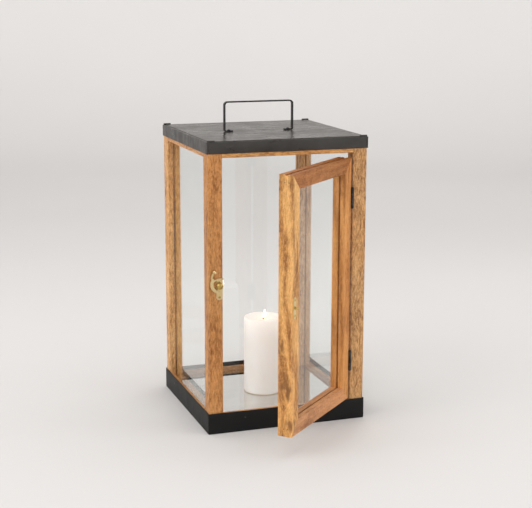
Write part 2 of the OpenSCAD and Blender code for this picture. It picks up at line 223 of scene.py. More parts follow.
def wood(name, axis, seed, tint, turn=0.0, pivot=(0, 0, 0), knots=(), speck=1.0, figure=1.0, curl=0.0, gloss=0.42):
    """Oiled open-grained hardwood. axis is the direction of the grain, turn the member's angle about +Z."""
    dark = (tint[0] * 0.40, tint[1] * 0.30, tint[2] * 0.24, 1.0)
    mid = (tint[0] * 0.86, tint[1] * 0.80, tint[2] * 0.74, 1.0)
    light = (min(1, tint[0] * 1.22), min(1, tint[1] * 1.28), min(1, tint[2] * 1.36), 1.0)
    g = Graph(name)
    co = g.coords()
    if turn:
        back = g.vmath("SUBTRACT", co, pivot)
        rot = g.add("ShaderNodeVectorRotate", rotation_type="Z_AXIS")
        g.put(rot.inputs["Vector"], back)
        rot.inputs["Angle"].default_value = -turn
        co = g.vmath("ADD", rot.outputs[0], pivot)
    member = co
    # put the grain along Z
    rot = {"Z": (0, 0, 0), "X": (0, math.radians(-90), 0), "Y": (math.radians(90), 0, 0)}[axis]
    rnd = random.Random(seed)
    p = g.mapping(co, loc=(rnd.uniform(-4, 4), rnd.uniform(-4, 4), rnd.uniform(-4, 4)), rot=rot)
    # slow wander of the grain
    w = g.noise_color(g.mapping(p, scale=(1, 1, 0.45)), 20.0, 2.0)
    w = g.vmath("SUBTRACT", w, (0.5, 0.5, 0.5))
    p2 = g.vmath("ADD", p, g.vmath("MULTIPLY", w, (0.022, 0.022, 0.02)))
    for (kx, ky, kz, kr) in knots:
        # the grain swells round each knot
        d = g.vmath("SUBTRACT", member, (kx, ky, kz))
        ln = g.add("ShaderNodeVectorMath", operation="LENGTH")
        g.link(g.mapping(d, scale=(1, 1, 0.6)), ln.inputs[0])
        k = g.smooth(ln.outputs[1], 0.0, kr * 3.0, 1.0, 0.0)
        sc = g.add("ShaderNodeVectorMath", operation="SCALE")
        g.link(d, sc.inputs[0])
        g.link(g.math("MULTIPLY", k, -0.75), sc.inputs[3])
        p2 = g.vmath("ADD", p2, sc.outputs[0])
    # growth bands
    bands = g.add("ShaderNodeTexWave", wave_type="BANDS", bands_direction="DIAGONAL", wave_profile="SIN")
    g.link(g.mapping(p2, rot=(0, 0, rnd.uniform(0, 3)), scale=(1, 0.55, 0.07)), bands.inputs["Vector"])
    bands.inputs["Scale"].default_value = 38.0
    bands.inputs["Distortion"].default_value = 7.0
    bands.inputs["Detail"].default_value = 4.0
    bands.inputs["Detail Scale"].default_value = 1.1
    bands.inputs["Detail Roughness"].default_value = 0.7
    broad = g.noise(g.mapping(p2, scale=(1, 1, 0.16)), 70.0, 3.0, 0.6, 0.3)
    patch = g.noise(g.mapping(p, scale=(1, 1, 0.5)), 30.0, 3.0, 0.55)
    # short light and dark flecks, as seen in open-pored wood
    f1 = g.noise(g.mapping(p2, scale=(1, 1, 0.22)), 520.0, 4.0, 0.72, 0.3)
    f2 = g.noise(g.mapping(p2, loc=(2, 5, 1), scale=(1, 1, 0.30)), 330.0, 3.0, 0.6, 0.6)
    fleck = g.math("ADD", g.math("MULTIPLY", g.math("SUBTRACT", f1, 0.5), 1.7 * speck), g.math("MULTIPLY", g.math("SUBTRACT", f2, 0.5), 1.1 * speck))
    tone = g.math("ADD", g.math("MULTIPLY", g.math("SUBTRACT", bands.outputs["Fac"], 0.5), 0.26 * figure), 0.52)
    tone = g.math("ADD", tone, g.math("MULTIPLY", g.math("SUBTRACT", broad, 0.5), 0.75))
    tone = g.math("ADD", tone, g.math("MULTIPLY", g.math("SUBTRACT", patch, 0.5), 0.65))
    if curl:
        # cross figure: the grain rolls and catches the light in bars
        cu = g.noise(g.mapping(p2, loc=(7, 1, 3), scale=(0.45, 0.45, 1.0)), 210.0, 3.0, 0.6, 1.2)
        tone = g.math("ADD", tone, g.math("MULTIPLY", g.math("SUBTRACT", cu, 0.5), curl))
    tone = g.math("ADD", tone, fleck)
    col = g.ramp(tone, [(0.05, dark), (0.40, mid), (0.54, tint), (0.80, light), (1.0, tuple(min(1, c * 1.15) for c in light[:3]) + (1.0,))])
    # warm and cool drift along the stick
    drift = g.noise(g.mapping(p, scale=(1, 1, 0.5)), 11.0, 1.0)
    col = g.mix(g.smooth(drift, 0.35, 0.7, 0.0, 0.6), col, g.mix(1.0, col, (1.04, 0.93, 0.80, 1.0), "MULTIPLY"))
    # fine fibre
    fib = g.noise(g.mapping(p, scale=(1, 1, 0.04)), 1500.0, 2.0, 0.6)
    col = g.mix(g.smooth(fib, 0.3, 0.7, 0.0, 0.28), col, g.mix(1.0, col, (0.76, 0.68, 0.60, 1.0), "MULTIPLY"))
    # open pores: short dark dashes along the grain
    po = g.noise(g.mapping(p2, scale=(1, 1, 0.11)), 1150.0, 2.0, 0.5)
    pores = g.smooth(po, 0.58, 0.66)
    po2 = g.noise(g.mapping(p2, loc=(3, 1, 2), scale=(1, 1, 0.14)), 1900.0, 1.0, 0.5)
    pores2 = g.smooth(po2, 0.60, 0.68)
    both = g.math("MAXIMUM", pores, g.math("MULTIPLY", pores2, 0.75))
    deep = tuple(c * 0.55 for c in dark[:3]) + (1.0,)
    col = g.mix(g.math("MULTIPLY", both, 0.16 + 0.26 * speck), col, deep)
    for (kx, ky, kz, kr) in knots:
        d = g.vmath("SUBTRACT", member, (kx, ky, kz))
        ln = g.add("ShaderNodeVectorMath", operation="LENGTH")
        wob = g.noise(g.mapping(p, scale=(1, 1, 0.5)), 190.0, 3.0)
        g.link(g.mapping(d, scale=(1, 1, 0.45)), ln.inputs[0])
        rr = g.math("ADD", ln.outputs[1], g.math("MULTIPLY", g.math("SUBTRACT", wob, 0.5), kr * 2.6))
        col = g.mix(g.smooth(rr, kr * 0.10, kr * 1.2, 0.85, 0.0), col, tuple(c * 0.75 for c in dark[:3]) + (1.0,))
    g.link(col, g.bsdf.inputs["Base Color"])
    rough = g.math("ADD", g.math("MULTIPLY", fib, 0.16), gloss)
    rough = g.math("ADD", rough, g.math("MULTIPLY", both, 0.25), clamp=True)
    g.link(rough, g.bsdf.inputs["Roughness"])
    g.bsdf.inputs["Specular IOR Level"].default_value = 0.38
    h = g.math("SUBTRACT", g.math("MULTIPLY", fib, 0.35), both)
    g.link(g.bump(h, 0.35, 0.0003), g.bsdf.inputs["Normal"])
    return g.mat


def black_metal(name, base, spec, rough, wear=0.5, seed=1, brushed=0.0, wave=0.35, sheen_tint=(1.0, 1.0, 1.0), mottle=0.0, edge=(120, 112, 104)):
    """Black painted sheet: mottled sheen, faint rub marks and thin paint on the edges."""
    g = Graph(name)
    co = g.coords()
    off = (seed * 1.7, seed * 0.9, seed * 2.3)
    n1 = g.noise(g.mapping(co, loc=off), 22.0, 4.0, 0.6)
    n2 = g.noise(g.mapping(co, loc=off), 900.0, 3.0, 0.6)
    n3 = g.noise(g.mapping(co, loc=off, scale=(0.25, 2.2, 1.0)), 60.0, 4.0, 0.65, 0.4)
    b = g.ramp(n1, [(0.3, tuple(c * 0.75 for c in base) + (1.0,)), (0.7, tuple(c * 1.35 for c in base) + (1.0,))])
    scr = g.noise(g.mapping(co, loc=off, rot=(0.2, 0.4, 0.7), scale=(1.0, 14.0, 3.0)), 60.0, 2.0, 0.5)
    b = g.mix(g.smooth(scr, 0.70, 0.78, 0.0, 0.22 * wear), b, rgb(110, 106, 102))
    # thin paint where an edge or a fold is rubbed
    geo = g.add("ShaderNodeNewGeometry")
    worn = g.smooth(geo.outputs["Pointiness"], 0.53, 0.60, 0.0, 1.0)
    worn = g.math("MULTIPLY", worn, g.smooth(g.noise(co, 240.0, 3.0, 0.6), 0.42, 0.62), clamp=True)
    b = g.mix(g.math("MULTIPLY", worn, 0.55 * wear), b, rgb(*edge))
    g.link(b, g.bsdf.inputs["Base Color"])
    r = g.math("ADD", g.math("MULTIPLY", g.math("SUBTRACT", n1, 0.5), 0.22), rough)
    r = g.math("ADD", r, g.math("MULTIPLY", g.math("SUBTRACT", n3, 0.5), 0.35 * brushed))
    r = g.math("ADD", r, g.math("MULTIPLY", g.math("SUBTRACT", n2, 0.5), 0.12), clamp=True)
    g.link(r, g.bsdf.inputs["Roughness"])
    if mottle:
        n4 = g.noise(g.mapping(co, loc=off, rot=(0, 0, 0.5), scale=(0.6, 1.1, 1.0)), 75.0, 4.0, 0.62, 0.5)
        r_in = g.bsdf.inputs["Roughness"].links[0].from_socket
        g.link(g.math("ADD", r_in, g.math("MULTIPLY", g.math("SUBTRACT", n4, 0.5), mottle), clamp=True), g.bsdf.inputs["Roughness"])
    g.bsdf.inputs["Specular IOR Level"].default_value = spec
    g.bsdf.inputs["Specular Tint"].default_value = sheen_tint + (1.0,)
    h = g.math("ADD", g.math("MULTIPLY", n2, 0.20), g.math("MULTIPLY", n3, brushed))
    nb = g.bump(h, 0.25, 0.0002)
    w1 = g.noise(g.mapping(co, loc=off, scale=(0.6, 1.6, 1.0)), 13.0, 2.0, 0.5)
    w2 = g.noise(g.mapping(co, loc=off, scale=(0.7, 1.8, 1.2)), 48.0, 2.0, 0.5)
    wav = g.math("ADD", w1, g.math("MULTIPLY", w2, 0.22))
    g.link(g.bump(wav, 0.8 * wave, 0.004, nb), g.bsdf.inputs["Normal"])
    return g.mat


def brass_metal(name, tint=(0.52, 0.355, 0.105), rough=0.24):
    g = Graph(name)
    co = g.coords()
    n1 = g.noise(co, 190.0, 4.0, 0.6)
    n2 = g.noise(co, 1800.0, 2.0, 0.5)
    tar = g.smooth(n1, 0.45, 0.72, 0.0, 0.55)
    dull = (tint[0] * 0.40, tint[1] * 0.36, tint[2] * 0.30, 1.0)
    col = g.mix(tar, tint + (1.0,), dull)
    # painted highlight: convex edges (high pointiness) are lightened towards pale gold
    geo = g.add("ShaderNodeNewGeometry")
    edge = g.smooth(geo.outputs["Pointiness"], 0.52, 0.60, 0.0, 0.6)
    col = g.mix(edge, col, (0.92, 0.78, 0.46, 1.0))
    g.link(col, g.bsdf.inputs["Base Color"])
    g.bsdf.inputs["Metallic"].default_value = 1.0
    r = g.math("ADD", g.math("MULTIPLY", n1, 0.22), rough - 0.08)
    r = g.math("ADD", r, g.math("MULTIPLY", n2, 0.10), clamp=True)
    g.link(r, g.bsdf.inputs["Roughness"])
    g.link(g.bump(n2, 0.15, 0.0001), g.bsdf.inputs["Normal"])
    return g.mat


def dull_steel(name):
    g = Graph(name)
    co = g.coords()
    n1 = g.noise(co, 900.0, 3.0, 0.6)
    g.link(g.ramp(n1, [(0.3, rgb(38, 30, 26)), (0.7, rgb(92, 78, 66))]), g.bsdf.inputs["Base Color"])
    g.bsdf.inputs["Metallic"].default_value = 0.7
    g.link(g.math("ADD", g.math("MULTIPLY", n1, 0.3), 0.35), g.bsdf.inputs["Roughness"])
    return g.mat


def mirror_steel(name):
    """Polished sheet with faint cleaning smears and dust."""
    g = Graph(name)
    co = g.coords()
    n1 = g.noise(g.mapping(co, rot=(0, 0, 0.6), scale=(1.0, 3.0, 1.0)), 16.0, 4.0, 0.6)
    n2 = g.noise(co, 700.0, 2.0, 0.5)
    g.link(g.ramp(n1, [(0.3, (0.70, 0.695, 0.68, 1)), (0.7, (0.76, 0.752, 0.735, 1))]), g.bsdf.inputs["Base Color"])
    g.bsdf.inputs["Metallic"].default_value = 1.0
    r = g.math("ADD", g.math("MULTIPLY", g.smooth(n1, 0.45, 0.8), 0.05), 0.025)
    r = g.math("ADD", r, g.math("MULTIPLY", g.smooth(n2, 0.62, 0.75), 0.08))
    g.link(r, g.bsdf.inputs["Roughness"])
    wav = g.noise(co, 9.0, 1.0, 0.5)
    g.link(g.bump(wav, 0.06, 0.002), g.bsdf.inputs["Normal"])
    return g.mat


def clear_glass(name, seed=0.0):
    """Float glass with a faint green body, slight dust and smears; light passes on to what is behind."""
    g = Graph(name)
    co = g.coords()
    g.bsdf.inputs["Transmission Weight"].default_value = 1.0
    g.bsdf.inputs["IOR"].default_value = 1.47
    n1 = g.noise(g.mapping(co, loc=(seed, 0, 0), scale=(1, 1, 0.35)), 14.0, 4.0, 0.6)
    g.link(g.ramp(n1, [(0.3, (0.955, 0.975, 0.968, 1)), (0.7, (0.985, 0.993, 0.99, 1))]), g.bsdf.inputs["Base Color"])
    g.link(g.smooth(n1, 0.55, 0.9, 0.0, 0.02), g.bsdf.inputs["Roughness"])
    lp = g.add("ShaderNodeLightPath")
    tr = g.add("ShaderNodeBsdfTransparent")
    tr.inputs[0].default_value = (0.93, 0.95, 0.94, 1.0)
    mix = g.add("ShaderNodeMixShader")
    g.link(g.math("MAXIMUM", lp.outputs["Is Shadow Ray"], lp.outputs["Is Diffuse Ray"]), mix.inputs[0])
    g.link(g.bsdf.outputs[0], mix.inputs[1])
    g.link(tr.outputs[0], mix.inputs[2])
    g.link(mix.outputs[0], g.out.inputs[0])
    return g.mat


def wax(name, cx, cy, top, foot):
    """Ivory wax, translucent, with a few specks near the foot; a painted glow (emission) brightens it all over and more
    towards the top near the flame.
    """
    g = Graph(name)
    co = g.coords()
    n1 = g.noise(g.mapping(co, scale=(1, 1, 0.5)), 45.0, 4.0, 0.55)
    n2 = g.noise(co, 420.0, 3.0, 0.6)
    col = g.ramp(n1, [(0.3, rgb(243, 238, 235)), (0.7, rgb(249, 246, 244))])
    x, y, z = g.xyz(co)
    # specks of soot and bark
    vor = g.add("ShaderNodeTexVoronoi", feature="F1")
    g.link(co, vor.inputs["Vector"])
    vor.inputs["Scale"].default_value = 62.0
    speck = g.smooth(vor.outputs["Distance"], 0.05, 0.085, 1.0, 0.0)
    pick = g.smooth(g.noise(co, 34.0, 0.0), 0.60, 0.64)
    low = g.smooth(z, foot + 0.004, foot + 0.035, 1.0, 0.12)
    speck = g.math("MULTIPLY", speck, g.math("MULTIPLY", pick, low), clamp=True)
    col = g.mix(g.math("MULTIPLY", speck, 0.75), col, rgb(96, 84, 72))
    # painted shade: a warm darker rim where the foot meets the plate
    col = g.mix(g.smooth(z, foot, foot + 0.0035, 0.45, 0.0), col, rgb(205, 180, 130))
    g.link(col, g.bsdf.inputs["Base Color"])
    g.bsdf.inputs["Subsurface Weight"].default_value = 0.15
    g.bsdf.inputs["Subsurface Radius"].default_value = (0.010, 0.006, 0.004)
    g.bsdf.inputs["Subsurface Scale"].default_value = 1.0
    g.bsdf.inputs["Specular IOR Level"].default_value = 0.35
    dx = g.math("SUBTRACT", x, cx)
    dy = g.math("SUBTRACT", y, cy)
    rad = g.math("SQRT", g.math("ADD", g.math("MULTIPLY", dx, dx), g.math("MULTIPLY", dy, dy)))
    wet = g.math("MULTIPLY", g.smooth(rad, 0.010, 0.016, 1.0, 0.0), g.smooth(z, top - 0.006, top - 0.003))
    r = g.math("SUBTRACT", g.math("ADD", g.math("MULTIPLY", n2, 0.18), 0.40), g.math("MULTIPLY", wet, 0.36), clamp=True)
    g.link(r, g.bsdf.inputs["Roughness"])
    # painted glow: emission over the whole candle, stronger towards the top, stands in for light on the wax
    painted_glow = g.smooth(z, top - 0.055, top, 0.0, 1.0)
    painted_glow = g.math("MULTIPLY", painted_glow, painted_glow)
    g.bsdf.inputs["Emission Color"].default_value = (1.0, 0.84, 0.70, 1.0)
    g.link(g.math("ADD", g.math("MULTIPLY", painted_glow, 0.16), 0.13), g.bsdf.inputs["Emission Strength"])
    g.link(g.bump(g.math("ADD", g.math("MULTIPLY", n1, 1.0), g.math("MULTIPLY", n2, 0.12)), 0.25, 0.0012), g.bsdf.inputs["Normal"])
    return g.mat


def charred(name):
    g = Graph(name)
    co = g.coords()
    n = g.noise(g.mapping(co, scale=(1, 1, 0.4)), 1600.0, 3.0, 0.6)
    g.link(g.ramp(n, [(0.3, rgb(24, 18, 15)), (0.7, rgb(88, 70, 56))]), g.bsdf.inputs["Base Color"])
    g.bsdf.inputs["Roughness"].default_value = 0.9
    g.link(g.bump(n, 0.6, 0.0003), g.bsdf.inputs["Normal"])
    return g.mat


def flame_mat(name, z0, z1):
    g = Graph(name)
    x, y, z = g.xyz(g.coords())
    h = g.smooth(z, z0, z1, 0.0, 1.0)
    col = g.ramp(h, [(0.0, (1.0, 0.45, 0.12, 1)), (0.25, (1.0, 0.80, 0.50, 1)), (0.7, (1.0, 0.90, 0.68, 1)), (1.0, (1.0, 0.72, 0.34, 1))])
    g.link(col, g.bsdf.inputs["Emission Color"])
    g.link(col, g.bsdf.inputs["Base Color"])
    g.link(g.math("ADD", g.math("MULTIPLY", h, 5.0), 3.5), g.bsdf.inputs["Emission Strength"])
    g.bsdf.inputs["Roughness"].default_value = 0.8
    return g.mat


# ------------------------------------------------------------------ camera

cam_data = bpy.data.cameras.new("camera")
cam = collection_link(bpy.data.objects.new("camera", cam_data))
cam_data.sensor_width = 36.0
cam_data.lens = 1268.84 / 532 * 36.0
right = Vector((0.945269, -0.326284, 0.002155))
up = Vector((0.065790, 0.197060, 0.978181))
fw = Vector((0.319590, 0.924503, -0.207742))
m = Matrix((right, up, -fw)).transposed().to_4x4()
m.translation = Vector((-0.629609, -1.843662, 0.655505))
cam.matrix_world = m
cam_data.clip_start = 0.05
cam_data.clip_end = 60
scene.camera = cam

# ------------------------------------------------------------------ stage and light

# strength of the painted shade on the paper sweep
STAGE_PAINTED_SHADE = 0.72


def stage():
    """Seamless paper sweep: flat floor that curves up into a wall far behind."""
    R = 1.6
    pts = [(2.6 + R, 7.0)]
    pts += [(2.6 + R * math.sin(a), R - R * math.cos(a)) for a in [math.radians(90 * i / 12) for i in range(12, -1, -1)]]
    pts += [(d, 0.0) for d in (1.2, 0.0, -1.5, -4.0, -9.0)]
    pts += [(-9.0 - R * math.sin(a), R - R * math.cos(a)) for a in [math.radians(90 * i / 8) for i in range(1, 9)]]
    # the paper also turns up far out at both sides
    cross = [(-9.0 - R * math.sin(a), R - R * math.cos(a)) for a in [math.radians(90 * i / 8) for i in range(8, 0, -1)]]
    cross += [(c, 0.0) for c in (-9.0, -4.0, 0.0, 4.0, 9.0)]
    cross += [(9.0 + R * math.sin(a), R - R * math.cos(a)) for a in [math.radians(90 * i / 8) for i in range(1, 9)]]
    ahead = Vector((fw.x, fw.y, 0)).normalized()
    aside = Vector((right.x, right.y, 0)).normalized()
    verts, faces = [], []
    for (d, z) in pts:
        for (c, zc) in cross:
            q = ahead * d + aside * c
            verts.append((q.x, q.y, max(z, zc)))
    k = len(cross)
    for i in range(len(pts) - 1):
        for j in range(k - 1):
            faces.append((i * k + j, i * k + j + 1, (i + 1) * k + j + 1, (i + 1) * k + j))
    o = mesh_piece("paper_sweep", verts, faces)
    g = Graph("pale_paper")
    co = g.coords()
    n = g.noise(co, 1.2, 2.0)
    base = g.ramp(n, [(0.3, (0.735, 0.712, 0.696, 1)), (0.7, (0.750, 0.728, 0.711, 1))])
    # painted shade: the paper's colour is darkened towards the turn, and less so again up the wall
    dot = g.add("ShaderNodeVectorMath", operation="DOT_PRODUCT")
    g.link(co, dot.inputs[0])
    dot.inputs[1].default_value = Vector((fw.x, fw.y, 0)).normalized()
    far = g.math("MULTIPLY", g.smooth(dot.outputs["Value"], 0.1, 1.7), g.smooth(dot.outputs["Value"], 2.4, 4.1, 1.0, 0.10))
    base = g.mix(g.math("MULTIPLY", far, STAGE_PAINTED_SHADE), base, g.mix(1.0, base, (0.80, 0.80, 0.80, 1), "MULTIPLY"))
    g.link(base, g.bsdf.inputs["Base Color"])
    g.bsdf.inputs["Roughness"].default_value = 0.85
    g.bsdf.inputs["Specular IOR Level"].default_value = 0.2
    set_mat(o, g.mat)


stage()


def area(name, loc, target, size, power, color=(1, 1, 1), size_y=None):
    d = bpy.data.lights.new(name, "AREA")
    d.energy = power
    d.color = color
    d.shape = "RECTANGLE" if size_y else "SQUARE"
    d.size = size
    if size_y:
        d.size_y = size_y
    o = collection_link(bpy.data.objects.new(name, d))
    o.location = loc
    o.rotation_mode = "QUATERNION"
    o.rotation_quaternion = (Vector(target) - Vector(loc)).to_track_quat("-Z", "Y")
    return o


def unseen(o):
    o.visible_glossy = False


area("soft_left", (-2.6, -0.9, 2.4), (0, 0, 0.2), 2.2, 30.0, (0.99, 0.99, 1.0))
area("soft_right", (2.9, -1.8, 1.7), (0, 0, 0.2), 2.2, 24.0, (0.98, 0.99, 1.0))
unseen(area("soft_top", (0.3, 0.1, 3.6), (0, 0, 0.0), 3.4, 27.0))
unseen(area("wall_wash", (0.5, 1.3, 3.3), (1.35, 3.9, 1.3), 2.6, 10.0, (0.985, 0.985, 1.0)))

world = bpy.data.worlds.new("world")
scene.world = world
world.use_nodes = True
wt = world.node_tree
bg = wt.nodes["Background"]
# a bright room below shoulder height, dimmer overhead and towards the right
tc = wt.nodes.new("ShaderNodeTexCoord")
sx = wt.nodes.new("ShaderNodeSeparateXYZ")
wt.links.new(tc.outputs["Generated"], sx.inputs[0])
up_r = wt.nodes.new("ShaderNodeValToRGB")
e = up_r.color_ramp.elements
e[0].position, e[0].color = 0.0, (1.14, 1.14, 1.145, 1)
e[1].position, e[1].color = 1.0, (0.60, 0.60, 0.60, 1)
m1 = e.new(0.12)
m1.color = (1.16, 1.16, 1.165, 1)
m2 = e.new(0.45)
m2.color = (0.76, 0.76, 0.76, 1)
wt.links.new(sx.outputs[2], up_r.inputs[0])
side = wt.nodes.new("ShaderNodeMapRange")
side.inputs[1].default_value = -1.0
side.inputs[2].default_value = 1.0
side.inputs[3].default_value = 1.0
side.inputs[4].default_value = 0.72
wt.links.new(sx.outputs[0], side.inputs[0])
bg.inputs[0].default_value = (1.0, 0.985, 0.965, 1.0)
front = wt.nodes.new("ShaderNodeMapRange")
front.inputs[1].default_value = -1.0
front.inputs[2].default_value = 1.0
front.inputs[3].default_value = 1.55
front.inputs[4].default_value = 0.95
wt.links.new(sx.outputs[1], front.inputs[0])
both = wt.nodes.new("ShaderNodeMath")
both.operation = "MULTIPLY"
wt.links.new(side.outputs[0], both.inputs[0])
wt.links.new(front.outputs[0], both.inputs[1])
wt.links.new(up_r.outputs[0], bg.inputs[0])
wt.links.new(both.outputs[0], bg.inputs[1])
scene.view_settings.view_transform = "Standard"
scene.view_settings.look = "None"

# ------------------------------------------------------------------ wood

turn = math.radians(44.0)
pv = Vector(joints["door_hinge"]["pos_m"]) if "pos_m" in joints["door_hinge"] else Vector((0.1004, -0.125, 0.22))
pivot = (pv.x, pv.y, 0.0)
woods = {
    "post_front_left": ("Z", 11, rgb(196, 140, 83), 0.9, 0.5, 0.3),
    "post_front_right": ("Z", 12, rgb(196, 150, 98), 1.3, 0.3, 0.4),
    "post_back_left": ("Z", 13, rgb(224, 173, 117), 1.0, 0.7, 0.0),
    "post_back_right": ("Z", 14, rgb(204, 160, 116), 1.0, 0.7, 0.0),
    "bottom_rail_front": ("X", 15, rgb(214, 156, 96), 0.9, 0.8, 0.0),
    "bottom_rail_back": ("X", 16, rgb(184, 136, 94), 0.9, 0.8, 0.0),
    "bottom_rail_left": ("Y", 17, rgb(206, 148, 92), 0.9, 0.8, 0.0),
    "bottom_rail_right": ("Y", 18, rgb(206, 148, 92), 0.9, 0.8, 0.0),
    "top_rail_front": ("X", 19, rgb(214, 158, 94), 0.9, 0.8, 0.0),
    "top_rail_back": ("X", 20, rgb(200, 146, 92), 0.9, 0.8, 0.0),
    "top_rail_left": ("Y", 21, rgb(206, 150, 98), 0.9, 0.8, 0.0),
    "top_rail_right": ("Y", 22, rgb(200, 146, 92), 0.9, 0.8, 0.0),
}
for n, (ax, seed, tint, speck, figure, curl) in woods.items():
    set_mat(N[n], wood("wood_" + n, ax, seed, tint, speck=speck, figure=figure, curl=curl))

door_woods = {
    "door_stile_free": ("Z", 31, rgb(217, 163, 97), 0.75, 1.8, 0.35,
                        ((-0.0990, -0.1125, 0.112, 0.008), (-0.0990, -0.1165, 0.098, 0.006), (-0.0900, -0.1230, 0.050, 0.005), (-0.0990, -0.1070, 0.165, 0.005), (-0.0990, -0.1190, 0.052, 0.006))),
    "door_stile_hinge": ("Z", 32, rgb(212, 148, 84), 0.45, 1.2, 0.0, ()),
    "door_rail_top": ("X", 33, rgb(166, 106, 52), 0.55, 0.9, 0.9, ()),
    "door_rail_bottom": ("X", 34, rgb(204, 146, 98), 0.40, 0.8, 0.5, ()),
}
for n, (ax, seed, tint, speck, figure, curl, kn) in door_woods.items():
    set_mat(N[n], wood("wood_" + n, ax, seed, tint, turn=turn, pivot=pivot, knots=kn, speck=speck, figure=figure, curl=curl))
    bevel(N[n], 0.0005, 2)

# ------------------------------------------------------------------ glass and plate

for i, n in enumerate(("glass_left", "glass_right", "glass_back", "door_glass")):
    set_mat(N[n], clear_glass("glass_" + n, seed=i * 3.1))
set_mat(N["floor_plate"], mirror_steel("polished_plate"))

# ------------------------------------------------------------------ metal

tray_mat = black_metal("black_tray_paint", (0.0055, 0.0055, 0.0055), 0.22, 0.50, wear=0.5, seed=1)
roof_mat = black_metal("black_roof_paint", (0.026, 0.021, 0.016), 0.40, 0.30, wear=0.3, seed=2, brushed=0.02, wave=0.6, sheen_tint=(1.0, 0.93, 0.85), mottle=0.26)
# painted light: the rim paint copies the roof paint with a slightly lighter base colour, to brighten the rim faces
rim_mat_painted_lighter = black_metal("black_rim_paint_painted_lighter", (0.034, 0.032, 0.030), 0.46, 0.36, wear=0.5, seed=6, brushed=0.05, wave=0.9, sheen_tint=(1.0, 0.96, 0.91), mottle=0.5)
iron_mat = black_metal("black_iron_paint", (0.007, 0.0068, 0.0065), 0.32, 0.42, wear=0.35, seed=3)
hinge_mat = black_metal("black_hinge_paint", (0.009, 0.009, 0.0085), 0.36, 0.38, wear=0.4, seed=4)
brass = brass_metal("brass")
for n in ("handle_strap", "handle_rivets", "base_brads", "roof_brads"):
    set_mat(N[n], iron_mat)
bevel(N["handle_strap"], 0.0005, 2)
for n in N:
    if n.startswith("hinge"):
        set_mat(N[n], hinge_mat)
set_mat(N["door_brads"], dull_steel("nail_steel"))
for n in ("latch_post_plate", "latch_post_screws", "latch_pivot_rivet", "latch_door_plate", "latch_stud", "latch_door_screws", "latch_hook", "latch_knob"):
    set_mat(N[n], brass)
for n in ("latch_post_plate", "latch_door_plate", "latch_hook"):
    bevel(N[n], 0.00025, 2)


def wobble(p, k, seed):
    return noise.noise(Vector(p) * k + Vector((seed * 3.7, seed * 1.3, seed * 2.1)))


def ring(half, z, rc, per=24, arc=5):
    """Points round a square of half-size half with corner radius rc, at height z."""
    pts = []
    rc = min(rc, half * 0.999)
    for q in range(4):
        a0 = -math.pi / 2 + q * math.pi / 2
        # straight side q runs from the end of the corner before it to the start of the next
        c, s = math.cos(q * math.pi / 2), math.sin(q * math.pi / 2)
        for i in range(per):
            t = -1 + 2 * i / (per - 1)
            x, y = t * (half - rc), -half
            pts.append((c * x - s * y, s * x + c * y, z))
        for i in range(1, arc + 1):
            a = -math.pi / 2 + (math.pi / 2) * i / (arc + 1)
            x, y = (half - rc) + rc * math.cos(a), -(half - rc) + rc * math.sin(a)
            pts.append((c * x - s * y, s * x + c * y, z))
    return pts


def pan(name, profile, close_top, wave):
    """A folded square pan. profile lists (half-size, height, corner radius) from the middle outwards and round the edge."""
    verts, faces = [], []
    n = None
    for (h, z, rc) in profile:
        r = ring(h, z, rc)
        n = len(r)
        verts += [wave(Vector(p)) for p in r]
    for k in range(len(profile) - 1):
        for i in range(n):
            j = (i + 1) % n
            faces.append((k * n + i, k * n + j, (k + 1) * n + j, (k + 1) * n + i))
    for k, (h, z, rc) in ((0, profile[0]), (len(profile) - 1, profile[-1])):
        c = len(verts)
        verts.append(wave(Vector((0, 0, z))))
        for i in range(n):
            j = (i + 1) % n
            faces.append((c, k * n + j, k * n + i) if k == 0 else (c, k * n + i, k * n + j))
    bm = bmesh.new()
    mm = bpy.data.meshes.new("tmp")
    mm.from_pydata([tuple(v) for v in verts], [], faces)
    bm.from_mesh(mm)
    bpy.data.meshes.remove(mm)
    return from_bmesh(name, bm)


def arc_pts(cx, cz, r, a0, a1, n):
    return [(cx + r * math.cos(a0 + (a1 - a0) * i / n), cz + r * math.sin(a0 + (a1 - a0) * i / n)) for i in range(n + 1)]


def round_box(name, lo, hi, r, seg=3, cuts=None, wave=None):
    """Box with rounded edges, cut across where it has to bend."""
    bm = bmesh.new()
    bmesh.ops.create_cube(bm, size=1.0)
    lo, hi = Vector(lo), Vector(hi)
    for v in bm.verts:
        v.co = Vector([lo[i] + (v.co[i] + 0.5) * (hi[i] - lo[i]) for i in range(3)])
    bmesh.ops.bevel(bm, geom=bm.edges[:], offset=r, segments=seg, profile=0.5, affect="EDGES", clamp_overlap=True)
    if cuts:
        ax, count = cuts
        nrm = Vector([1 if i == ax else 0 for i in range(3)])
        for k in range(1, count):
            p = lo.copy()
            p[ax] = lo[ax] + (hi[ax] - lo[ax]) * k / count
            bmesh.ops.bisect_plane(bm, geom=bm.verts[:] + bm.edges[:] + bm.faces[:], plane_co=p, plane_no=nrm)
    if wave:
        for v in bm.verts:
            v.co = wave(v.co)
    return from_bmesh(name, bm)


def join(name, objs):
    bm = bmesh.new()
    for o in objs:
        bm.from_mesh(o.data)
        bpy.data.objects.remove(o)
    return from_bmesh(name, bm)


# roof: sheet with a soft fold, turned-down flanges, tucked corners
rlo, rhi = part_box("roof_cap")
RH = rhi.x
RZ = N and 0.437
RB = rlo.z
T = 0.001


def roof_wave(p):
    q = p.copy()
    f = max(abs(p.x), abs(p.y)) / RH
    edge = 1 - min(1, max(0, (f - 0.86) / 0.09))
    dip = 0.0004 * (wobble(p, 9.0, 1) + 0.6 * wobble(p, 22.0, 2))
    q.z += min(0.0, dip - 0.00025) * edge if p.z > RB + 0.012 else 0.00025 * wobble(p, 14, 5)
    return q


